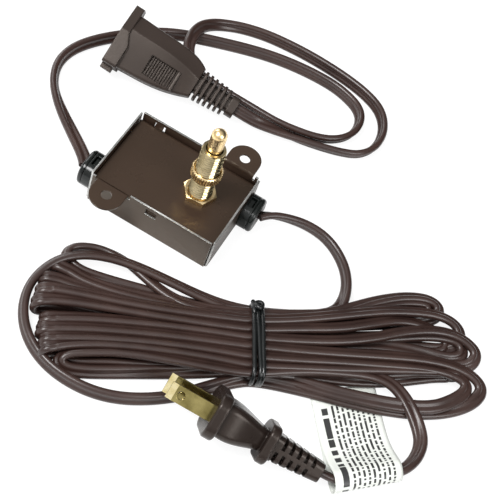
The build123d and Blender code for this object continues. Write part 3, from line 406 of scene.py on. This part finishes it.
def surface(name, dark, light, mottle, roughness, grain, depth, metal=0.0, soft=0.0003, shine=0.5,
            tint=(1.0, 1.0, 1.0)):
    """A material whose colour and gloss drift a little over the piece, with a fine grain in relief.

    mottle and grain are the scales of the drift and of the grain, and depth is the grain's strength.
    soft is the radius in metres that rounds the edges.
    shine and tint are the reflection's strength and colour.
    """
    material = bpy.data.materials.new(name)
    material.use_nodes = True
    tree = material.node_tree
    shader = tree.nodes["Principled BSDF"]
    shader.inputs["Metallic"].default_value = metal
    shader.inputs["Specular IOR Level"].default_value = shine
    shader.inputs["Specular Tint"].default_value = (*tint, 1)
    place = tree.nodes.new("ShaderNodeTexCoord")
    drift = tree.nodes.new("ShaderNodeTexNoise")
    drift.inputs["Scale"].default_value = mottle
    drift.inputs["Detail"].default_value = 5.0
    colour = tree.nodes.new("ShaderNodeValToRGB")
    colour.color_ramp.elements[0].position = 0.3
    colour.color_ramp.elements[0].color = (*dark, 1)
    colour.color_ramp.elements[1].position = 0.7
    colour.color_ramp.elements[1].color = (*light, 1)
    gloss = tree.nodes.new("ShaderNodeMapRange")
    gloss.inputs["To Min"].default_value = roughness * 0.85
    gloss.inputs["To Max"].default_value = roughness * 1.15
    fine = tree.nodes.new("ShaderNodeTexNoise")
    fine.inputs["Scale"].default_value = grain
    fine.inputs["Detail"].default_value = 3.0
    relief = tree.nodes.new("ShaderNodeBump")
    relief.inputs["Strength"].default_value = depth
    relief.inputs["Distance"].default_value = 0.0002
    edge = tree.nodes.new("ShaderNodeBevel")
    edge.samples = 4
    edge.inputs["Radius"].default_value = soft
    tree.links.new(edge.outputs["Normal"], relief.inputs["Normal"])
    tree.links.new(place.outputs["Object"], drift.inputs["Vector"])
    tree.links.new(place.outputs["Object"], fine.inputs["Vector"])
    tree.links.new(drift.outputs["Fac"], colour.inputs["Fac"])
    tree.links.new(drift.outputs["Fac"], gloss.inputs["Value"])
    tree.links.new(fine.outputs["Fac"], relief.inputs["Height"])
    tree.links.new(colour.outputs["Color"], shader.inputs["Base Color"])
    tree.links.new(gloss.outputs["Result"], shader.inputs["Roughness"])
    tree.links.new(relief.outputs["Normal"], shader.inputs["Normal"])
    return material


cord_vinyl = surface("cord_vinyl", dark=(0.022, 0.0112, 0.0090), light=(0.038, 0.0200, 0.0160), mottle=60,
                     roughness=0.32, grain=900, depth=0.06, soft=0.0)
supply_cord, supply_line = twin_cord("supply_cord", round_folds(supply_points))
supply_cord.data.materials.append(cord_vinyl)
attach(supply_cord, "switch_box")
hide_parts("supply_cord_lead", "supply_cord_hank", "supply_cord_loop", "supply_cord_tail")

# Outlet cord: the same flat twin cord, standing on its edge in two open turns behind the box.
# It runs from the other bushing to the receptacle, and crosses over itself once on its way.
outlet_points = [
    # out of the bushing, flat, then up on its edge round the box's end
    (-35.0, -11.0, 6.7, 0), (-36.8, -8.6, 6.6, 4), (-41.3, -4.7, 6.2, 8), (-49.0, 1.2, 5.4, 14),
    (-56.9, 7.4, 4.4, 28), (-63.4, 13.2, 3.6, 48), (-68.5, 18.7, 3.1, 64), (-72.0, 24.3, 2.9, 70),
    (-74.3, 30.8, 2.9, 72), (-74.5, 37.2, 2.9, 72), (-73.2, 43.6, 2.9, 72), (-69.9, 50.7, 2.9, 72),
    (-64.8, 58.4, 2.9, 72), (-57.2, 67.4, 2.9, 72), (-48.9, 75.4, 2.9, 72), (-40.6, 81.1, 2.9, 72),
    # first turn
    (-29.8, 86.2, 2.9, 70), (-21.4, 89.9, 2.9, 70), (-12.0, 93.7, 2.9, 70), (-2.3, 96.9, 2.9, 70),
    (8.0, 99.1, 2.9, 70), (18.8, 100.3, 2.9, 70), (29.1, 100.3, 2.9, 70), (37.3, 98.4, 2.9, 70),
    (43.4, 95.5, 2.9, 70), (47.1, 90.8, 2.9, 70), (48.4, 83.8, 2.9, 70), (46.5, 76.9, 2.9, 70),
    (41.7, 71.2, 2.9, 70), (35.0, 67.7, 2.9, 70), (27.2, 65.6, 2.9, 70), (18.0, 64.1, 2.9, 70),
    (10.3, 64.1, 2.9, 70), (2.8, 64.3, 2.9, 70),
    # behind the receptacle and over itself
    (-7.3, 64.6, 2.9, 65), (-17.9, 65.4, 3.0, 55), (-27.3, 67.2, 4.4, 40), (-33.2, 71.5, 7.2, 25),
    (-35.1, 78.0, 8.4, 20), (-35.6, 87.4, 6.4, 35),
    # second turn
    (-32.8, 94.9, 4.0, 55), (-27.1, 100.2, 3.0, 68), (-19.8, 104.0, 2.9, 72), (-9.8, 107.0, 2.9, 72),
    (1.0, 108.4, 2.9, 72), (12.3, 109.0, 2.9, 72), (23.9, 108.6, 2.9, 72), (34.0, 107.5, 2.9, 72),
    (43.2, 105.5, 2.9, 72), (51.3, 101.9, 2.9, 72), (56.7, 95.7, 2.9, 72), (59.6, 87.5, 2.9, 72),
    (59.3, 78.6, 2.9, 70), (55.2, 71.5, 2.9, 68), (48.2, 67.6, 2.9, 66), (39.7, 64.6, 2.9, 64),
    (30.8, 62.0, 3.0, 58), (22.6, 59.6, 3.6, 38), (15.0, 57.2, 5.2, 0),
    # into the receptacle
    (8.3, 55.2, 6.6, -36), (0.4, 54.75, 7.6, -36)]
outlet_cord, outlet_line = twin_cord("flat_outlet_cord", outlet_points)
outlet_cord.data.materials.append(cord_vinyl)
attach(outlet_cord, "switch_box")
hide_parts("outlet_cord")

# Box tray: one steel blank folded up into four walls with open corners, under brown stoved paint.
# Two ears for the screws are folded out of its long walls, and a lanced tab in each holds the cover down.
# The rim, the corner slits and the lanced tabs lost their paint when they were cut, and show bare metal.
paint = surface("brown_paint", dark=(0.027, 0.0160, 0.0110), light=(0.035, 0.0215, 0.0152), mottle=25,
                roughness=0.28, grain=400, depth=0.06, tint=(1.0, 0.87, 0.67))
bare_steel = surface("cut_steel", dark=(0.34, 0.34, 0.33), light=(0.56, 0.56, 0.54), mottle=300,
                     roughness=0.42, grain=1500, depth=0.25, metal=1.0)

# The cutter trims each ear to the straight fold that joins it to its wall. Sizes are in millimetres.
tray_top = 16.8
tray_inside = 19.8
fold_radius = 1.2
fold_skin = 0.01
fold_steps = 8
ear_middle = 18.0
ear_reach = 7.5
cut_over = 1.0
cut_inward = 3.0
round_reach = fold_radius + fold_skin
ear_fold = [(-tray_inside - fold_radius, tray_top + cut_over)]
for i in range(fold_steps + 1):
    angle = math.pi / 2 * (1 - i / fold_steps)
    ear_fold.append((-tray_inside - fold_radius + round_reach * math.cos(angle),
                     tray_top - fold_radius + round_reach * math.sin(angle)))
ear_fold.append((-tray_inside + cut_inward, tray_top - fold_radius))
ear_fold.append((-tray_inside + cut_inward, tray_top + cut_over))
count = len(ear_fold)
verts, faces = [], []
for side in (1, -1):
    first = len(verts)
    for x in (-ear_middle - ear_reach, -ear_middle + ear_reach):
        verts += [(side * x / 1000, side * y / 1000, z / 1000) for y, z in ear_fold]
    faces.append(tuple(first + j for j in range(count)))
    faces.append(tuple(first + count + j for j in reversed(range(count))))
    for j in range(count):
        k = (j + 1) % count
        faces.append((first + j, first + count + j, first + count + k, first + k))
fold_mesh = bpy.data.meshes.new("ear_folds")
fold_mesh.from_pydata(verts, [], faces)
folds = bmesh.new()
folds.from_mesh(fold_mesh)
bmesh.ops.recalc_face_normals(folds, faces=folds.faces)
folds.to_mesh(fold_mesh)
folds.free()
fold_cutter = new_object("ear_folds", fold_mesh)

weld_distance = 1e-7
blank = bmesh.new()
blank.from_mesh(nodes["box_tray"].data)
bmesh.ops.remove_doubles(blank, verts=blank.verts, dist=weld_distance)
tray_mesh = bpy.data.meshes.new("folded_tray")
blank.to_mesh(tray_mesh)
blank.free()
tray = new_object("folded_tray", tray_mesh)
cut = tray.modifiers.new("folds", "BOOLEAN")
cut.operation = "DIFFERENCE"
cut.solver = "EXACT"
cut.object = fold_cutter
trimmed = bpy.data.meshes.new_from_object(tray.evaluated_get(bpy.context.evaluated_depsgraph_get()))
tray.modifiers.clear()
tray.data = trimmed
bpy.data.objects.remove(fold_cutter)
bpy.data.meshes.remove(tray_mesh)
smooth(trimmed, sharp=30)
trimmed.materials.clear()
trimmed.materials.append(paint)
trimmed.materials.append(bare_steel)

# Limits in millimetres that find the cut faces, and how squarely a face has to look along an axis.
rim_from = 16.75
rim_outside = 20.7
ear_half = 7.0
ear_from = 19.7
long_slit = 19.4
long_slit_from = 27.7
end_slit = 27.3
end_slit_from = 19.8
slit_near = 0.1
window_outside = 20.6
window_low = 11.7
window_high = 15.3
square_on = 0.9
edge_on = 0.3
for polygon in trimmed.polygons:
    x, y, z = (v * 1000 for v in polygon.center)
    look_x, look_y = abs(polygon.normal.x), abs(polygon.normal.y)
    beside_ear = abs(x * math.copysign(1, y) - ear_middle) < ear_half and abs(y) > ear_from
    rim = z > rim_from and abs(y) < rim_outside and not beside_ear
    long_cut = abs(abs(y) - long_slit) < slit_near and look_y > square_on and abs(x) > long_slit_from
    end_cut = abs(abs(x) - end_slit) < slit_near and look_x > square_on and abs(y) > end_slit_from
    window = tray_inside < abs(y) < window_outside and look_y < edge_on and window_low < z < window_high
    polygon.material_index = 1 if rim or long_cut or end_cut or window else 0
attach(tray, "switch_box")
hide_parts("box_tray")


# Cover plate: a second folded sheet in the same paint, recessed in the tray under the two tabs.
# It stands on the tray's floor with two legs, and the switch's neck comes up through it.
def coat(name, *materials):
    """Gives a node of the frame these materials in place of its plain one."""
    slots = nodes[name].data.materials
    slots.clear()
    for material in materials:
        slots.append(material)


coat("cover_plate", paint)

# Strain-relief bushings: glossy black nylon mouldings, squeezed round the flat cords and snapped into the end
# walls. Their heads stay outside the walls, and no pull on a cord reaches the terminals.
nylon = surface("black_nylon", dark=(0.004, 0.0055, 0.005), light=(0.007, 0.009, 0.008), mottle=90,
                roughness=0.15, grain=700, depth=0.06, soft=0.0007, shine=0.36)
for name in ("strain_relief_supply", "strain_relief_outlet"):
    coat(name, nylon)

# Switch neck: a turned brass tube with a fine outside thread, a flange near its foot and a seat for the
# spring. It stands up through the cover, clamped there between the flange and the hexagon nut.
# Sizes are in millimetres.
neck_x, neck_y = 10.5, 1.0
neck_radius = 5.0
neck_bore = 3.6
neck_mouth = 4.6
neck_foot, neck_top = 9.5, 42.5
foot_radius = 4.0
stem_hole = 1.65
flange_radius = 7.0
flange_low, flange_high = 10.9, 12.1
spring_seat = 19.0
thread_pitch = 1.27
thread_depth = 0.50
thread_flank = 1.25
thread_from, thread_to = 13.4, 42.0
thread_step = 0.12
thread_rows = int((thread_to - thread_from) / thread_step)
steps = 64
below_thread = [(stem_hole, neck_foot), (foot_radius, neck_foot), (foot_radius, flange_low),
                (flange_radius, flange_low), (flange_radius, flange_high), (neck_radius, flange_high),
                (neck_radius, thread_from)]
above_thread = [(neck_mouth, neck_top), (neck_bore, neck_top), (neck_bore, spring_seat),
                (stem_hole, spring_seat)]


def neck_point(r, angle, z):
    """A point at this distance and angle from the neck's axis, in metres."""
    return (neck_x + r * math.cos(angle)) / 1000, (neck_y + r * math.sin(angle)) / 1000, z / 1000


neck_rows = [[row] * steps for row in below_thread]
for i in range(thread_rows + 1):
    z = thread_from + (thread_to - thread_from) * i / thread_rows
    ring = []
    for j in range(steps):
        wave = abs(((z / thread_pitch - j / steps) % 1.0) * 2 - 1)
        ring.append((neck_radius - thread_depth * min(1.0, thread_flank * wave), z))
    neck_rows.append(ring)
neck_rows += [[row] * steps for row in above_thread]
verts, faces = [], []
for ring in neck_rows:
    for j, (r, z) in enumerate(ring):
        angle = 2 * math.pi * j / steps
        verts.append(neck_point(r, angle, z))
for i in range(len(neck_rows)):
    for j in range(steps):
        a, b = i * steps, ((i + 1) % len(neck_rows)) * steps
        k = (j + 1) % steps
        faces.append((a + j, a + k, b + k, b + j))
neck_mesh = bpy.data.meshes.new("threaded_neck")
neck_mesh.from_pydata(verts, [], faces)
smooth(neck_mesh, sharp=40)
neck = new_object("threaded_neck", neck_mesh)
# Its brass is painted darker than the nuts' and plunger's, as painted shade for the dark reflections on the
# thread.
brass = surface("brass_painted_darker", dark=(0.40, 0.32, 0.17), light=(0.62, 0.52, 0.32), mottle=220, roughness=0.15,
                grain=900, depth=0.06, metal=1.0, soft=0.0)
neck_mesh.materials.append(brass)
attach(neck, "switch_box")
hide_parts("switch_neck")

# Hexagon nut and knurled ring nut: machined from brass bar and screwed on the neck.
# Plunger: turned brass with a polished domed tip, sliding in the neck with the contact bridge on its stem.
# This brass is painted lighter than the neck's, as a painted highlight. Both are the same brass.
brass_painted_lighter = surface("brass_painted_lighter", dark=(0.76, 0.54, 0.26), light=(0.92, 0.72, 0.41), mottle=220,
                       roughness=0.27, grain=900, depth=0.06, metal=1.0)
for name in ("hex_nut", "knurled_nut", "plunger"):
    coat(name, brass_painted_lighter)

# Inside the box: brass terminals and a contact bridge in a dark moulded housing with its base.
# A toothed steel washer keeps the neck from turning, and a nylon sleeve joins two of the cords' four leads.
# Inside the receptacle: two brass contacts.
spring_steel = surface("spring_steel", dark=(0.40, 0.40, 0.40), light=(0.58, 0.58, 0.57), mottle=200,
                       roughness=0.30, grain=900, depth=0.08, metal=1.0)
phenolic = surface("dark_moulding", dark=(0.020, 0.016, 0.014), light=(0.032, 0.026, 0.022), mottle=70,
                   roughness=0.45, grain=600, depth=0.12)
inside_pieces = [
    (brass, ("contact_bridge", "terminal_line", "terminal_load", "receptacle_contact_narrow",
             "receptacle_contact_wide")),
    (spring_steel, ("lock_washer",)),
    (phenolic, ("switch_housing", "housing_base")),
    (nylon, ("crimp_sleeve",)),
    (cord_vinyl, ("supply_line_lead", "supply_neutral_lead", "outlet_line_lead", "outlet_neutral_lead"))]
for material, names in inside_pieces:
    for name in names:
        coat(name, material)

# Return spring: hard-drawn steel wire, coiled round the plunger's stem between the neck's seat and the
# plunger's head. Its lower end stays on the seat and its upper end follows the plunger down.
# Sizes are in millimetres.
spring_head = 36.5
spring_gap = 0.15
spring_wire = 0.275
spring_radius = 2.825
spring_turns = 10
coil_steps, wire_steps = 240, 10
low, high = spring_seat + spring_gap + spring_wire, spring_head - spring_gap - spring_wire
verts, faces = [], []
for i in range(coil_steps + 1):
    angle = 2 * math.pi * spring_turns * i / coil_steps
    for j in range(wire_steps):
        around = 2 * math.pi * j / wire_steps
        r = spring_radius + spring_wire * math.cos(around)
        z = low + (high - low) * i / coil_steps + spring_wire * math.sin(around)
        verts.append(neck_point(r, angle, z))
for i in range(coil_steps):
    for j in range(wire_steps):
        a, k = i * wire_steps, (j + 1) % wire_steps
        faces.append((a + j, a + wire_steps + j, a + wire_steps + k, a + k))
faces.append(tuple(range(wire_steps)))
faces.append(tuple(reversed(range(coil_steps * wire_steps, (coil_steps + 1) * wire_steps))))
spring_mesh = bpy.data.meshes.new("coil_spring")
spring_mesh.from_pydata(verts, [], faces)
smooth(spring_mesh, sharp=50)
spring_mesh.materials.append(spring_steel)
spring = new_object("coil_spring", spring_mesh)
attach(spring, "switch_box")
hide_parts("return_spring")
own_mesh(spring)

# Receptacle and plug: brown vinyl moulded round the cords' ends, each in one piece with its strain relief.
# The receptacle is satin, and the plug is glossier. The plug's vinyl is painted a little darker, as painted
# shade.
moulded_tint = (1.0, 0.90, 0.82)
moulded_vinyl = surface("moulded_vinyl", dark=(0.016, 0.0105, 0.0085), light=(0.025, 0.0170, 0.0140),
                        mottle=45, roughness=0.36, grain=500, depth=0.10, soft=0.0008, shine=0.42,
                        tint=moulded_tint)
plug_vinyl_painted_darker = surface("plug_vinyl_painted_darker", dark=(0.012, 0.0080, 0.0066), light=(0.018, 0.0122, 0.0102), mottle=45,
                     roughness=0.26, grain=500, depth=0.08, soft=0.0006, shine=0.34, tint=moulded_tint)
coat("receptacle_body", moulded_vinyl)
coat("plug_body", plug_vinyl_painted_darker)

# Plug blades: stamped brass strip, held in the plug's moulding and yellower than the turned brass.
# The slopes that the stamp coined at the tip are painted much brighter than the flat sides, as a painted
# highlight.
blade_brass = surface("blade_brass", dark=(0.25, 0.205, 0.070), light=(0.50, 0.42, 0.170), mottle=180,
                      roughness=0.16, grain=1200, depth=0.12, metal=1.0)
brass_painted_highlight = surface("brass_painted_highlight", dark=(0.72, 0.60, 0.28), light=(0.90, 0.80, 0.50), mottle=400,
                       roughness=0.16, grain=1200, depth=0.06, metal=1.0)
# Faces that slope against the blade's length are given the painted highlight.
blade_out = Vector((-0.971, -0.137, 0.195)).normalized()
slope_least, slope_most = 0.08, 0.97
for name in ("plug_blade_narrow", "plug_blade_wide"):
    coat(name, blade_brass, brass_painted_highlight)
    for polygon in nodes[name].data.polygons:
        slope = abs(polygon.normal.dot(blade_out))
        polygon.material_index = 1 if slope_least < slope < slope_most else 0

# Hank tie: black vinyl-coated wire, three times round the hank side by side, its ends knotted at the back.
# It is drawn tight over the strands and pressed flat under them. Sizes are in millimetres.
tie_middle = (61.6, -42.0)
tie_angle = math.radians(28.8)
tie_wire = 0.92
tie_half_wide = 16.4
tie_top = 11.3
tie_bottom = 0.55
tie_under = 0.1
tie_pressed = 0.55
# Where each turn crosses the hank's middle, and how far it leans to either side of that.
tie_turns = [(-1.75, 0.35), (0.1, -0.30), (1.75, 0.15)]
# Shares of the tie's half width and height, and for the knot also the place along the hank.
tie_outline = [(-1.12, 0.35), (-1.12, 0.90), (-0.92, 1.08), (-0.45, 1.02), (0.0, 1.03), (0.45, 1.0),
               (0.84, 0.86), (0.98, 0.62), (0.98, 0.26), (0.86, 0.0), (0.35, 0.0), (-0.35, 0.0), (-0.86, 0.0)]
tie_knot = [(0.60, 1.0, -1.4), (0.72, 1.04, -1.9), (0.86, 1.0, -1.2), (0.92, 0.98, 0.4), (0.88, 1.0, 1.9),
            (0.74, 1.06, 1.5), (0.70, 1.10, 0.2), (0.80, 1.06, -1.0), (0.95, 0.90, -1.8)]


def tie_point(wide, high, shift):
    """A point of the tie: across the hank, above the table and along the hank."""
    x = tie_middle[0] + shift * math.cos(tie_angle) - wide * tie_half_wide * math.sin(tie_angle)
    y = tie_middle[1] + shift * math.sin(tie_angle) + wide * tie_half_wide * math.cos(tie_angle)
    return x / 1000, y / 1000, (tie_bottom + high * (tie_top - tie_bottom)) / 1000, 1


tie_curve = bpy.data.curves.new("hank_tie_wire", "CURVE")
tie_curve.dimensions = "3D"
tie_curve.bevel_depth = tie_wire / 1000
tie_curve.bevel_resolution = 3
tie_curve.resolution_u = 8
tie_curve.use_fill_caps = True
for start, lean in tie_turns:
    spline = tie_curve.splines.new("NURBS")
    spline.points.add(len(tie_outline) - 1)
    for control, (wide, high) in zip(spline.points, tie_outline):
        control.co = tie_point(wide, high, start + lean * wide)
        control.radius = tie_pressed if high < tie_under else 1.0
    spline.order_u = 3
    spline.use_cyclic_u = True
spline = tie_curve.splines.new("NURBS")
spline.points.add(len(tie_knot) - 1)
for control, place in zip(spline.points, tie_knot):
    control.co = tie_point(*place)
spline.order_u = 3
spline.use_endpoint_u = True
tie = new_object("hank_tie_wire", tie_curve)
tie_vinyl = surface("tie_vinyl", dark=(0.004, 0.005, 0.005), light=(0.008, 0.009, 0.009), mottle=120,
                    roughness=0.28, grain=800, depth=0.10)
tie_curve.materials.append(tie_vinyl)
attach(tie, "switch_box")
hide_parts("hank_tie")

# Cord tag: a strip of white film folded round the cord and stuck to itself, its flag lying on the table.
# Its print is left as plain dark bars, one wide row and then narrow ones, in the film's colour map.
# The fold's profile is in millimetres, out from the cord and up from the table. Other sizes are in metres.
tag_profile = [(39.0, 0.60), (30.0, 0.60), (20.0, 0.75), (14.0, 1.5), (9.0, 3.5), (5.0, 6.0), (2.4, 7.7),
               (-0.5, 8.1), (-3.2, 6.8), (-4.0, 4.2), (-3.2, 1.5), (-1.0, 0.4), (3.0, 0.25), (9.0, 0.25),
               (20.0, 0.25), (30.0, 0.25), (39.0, 0.25)]
tag_half = 0.0138
tag_thickness = 0.0002
tag_rows = 20
tag_skew = 0.12
tag_skew_from = 0.016
tag_middle = Vector((0.1246, -0.0660, 0))
tag_along = Vector((-0.714, -0.700, 0))
tag_out = Vector((-0.700, 0.714, 0))
tag_line = follow([(out, 0, high, 0) for out, high in tag_profile])[0]
verts, faces, places = [], [], []
travel = 0.0
for i, spot in enumerate(tag_line):
    travel += (spot - tag_line[max(i - 1, 0)]).length
    for j in range(tag_rows + 1):
        across = (j / tag_rows * 2 - 1) * tag_half
        skewed = across + tag_skew * (spot.x - tag_skew_from)
        verts.append(tag_middle + tag_out * spot.x - tag_along * skewed + Vector((0, 0, spot.z)))
        places.append(((tag_half + across) * 1000, travel * 1000))
for i in range(len(tag_line) - 1):
    for j in range(tag_rows):
        a = i * (tag_rows + 1) + j
        faces.append((a, a + 1, a + tag_rows + 2, a + tag_rows + 1))
tag_mesh = bpy.data.meshes.new("folded_tag")
tag_mesh.from_pydata(verts, [], faces)
spread = tag_mesh.uv_layers.new(name="spread")
for loop in tag_mesh.loops:
    spread.data[loop.index].uv = places[loop.vertex_index]
for polygon in tag_mesh.polygons:
    polygon.use_smooth = True
tag = new_object("folded_tag", tag_mesh)
film_depth = tag.modifiers.new("film", "SOLIDIFY")
film_depth.thickness = tag_thickness
film_depth.offset = 0.0

film = surface("white_film", dark=(0.60, 0.62, 0.58), light=(0.68, 0.70, 0.66), mottle=30, roughness=0.42,
               grain=300, depth=0.05)
ink = (0.03, 0.03, 0.03)
print_from, print_to = 6.5, 47.0
word_limit = 0.40
row_shift = 17.3
tree = film.node_tree
shader = tree.nodes["Principled BSDF"]
plain = shader.inputs["Base Color"].links[0].from_socket
flat = tree.nodes.new("ShaderNodeUVMap")
flat.uv_map = "spread"
apart = tree.nodes.new("ShaderNodeSeparateXYZ")
tree.links.new(flat.outputs["UV"], apart.inputs[0])
across_tag = apart.outputs["X"]
along_tag = apart.outputs["Y"]


def reckon(operation, first, second=None):
    """One step of arithmetic in the film's colour map, on sockets or plain numbers."""
    step = tree.nodes.new("ShaderNodeMath")
    step.operation = operation
    for socket, value in zip(step.inputs, (first, second)):
        if isinstance(value, (int, float)):
            socket.default_value = value
        elif value is not None:
            tree.links.new(value, socket)
    return step.outputs[0]


def bars(start, stop, pitch, share, stretch):
    """Rows of bars along the flag between two distances from its edge, broken up like lines of print."""
    row = reckon("DIVIDE", reckon("SUBTRACT", across_tag, start), pitch)
    words = tree.nodes.new("ShaderNodeTexNoise")
    words.noise_dimensions = "1D"
    words.inputs["Scale"].default_value = 1.0
    words.inputs["Detail"].default_value = 0.0
    shift = reckon("MULTIPLY", reckon("FLOOR", row), row_shift)
    tree.links.new(reckon("ADD", reckon("MULTIPLY", along_tag, stretch), shift), words.inputs["W"])
    mask = reckon("LESS_THAN", reckon("FRACT", row), share)
    limits = [("GREATER_THAN", words.outputs["Fac"], word_limit), ("GREATER_THAN", across_tag, start),
              ("LESS_THAN", across_tag, stop), ("GREATER_THAN", along_tag, print_from),
              ("LESS_THAN", along_tag, print_to)]
    for test, socket, limit in limits:
        mask = reckon("MULTIPLY", mask, reckon(test, socket, limit))
    return mask


wide_row = bars(start=3.2, stop=6.0, pitch=2.8, share=0.9, stretch=0.50)
narrow_rows = bars(start=7.4, stop=25.6, pitch=2.05, share=0.46, stretch=0.85)
inked = tree.nodes.new("ShaderNodeMix")
inked.data_type = "RGBA"
inked.inputs["B"].default_value = (*ink, 1)
tree.links.new(reckon("MAXIMUM", wide_row, narrow_rows), inked.inputs["Factor"])
tree.links.new(plain, inked.inputs["A"])
tree.links.new(inked.outputs["Result"], shader.inputs["Base Color"])
tag_mesh.materials.append(film)
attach(tag, "switch_box")
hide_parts("cord_tag")
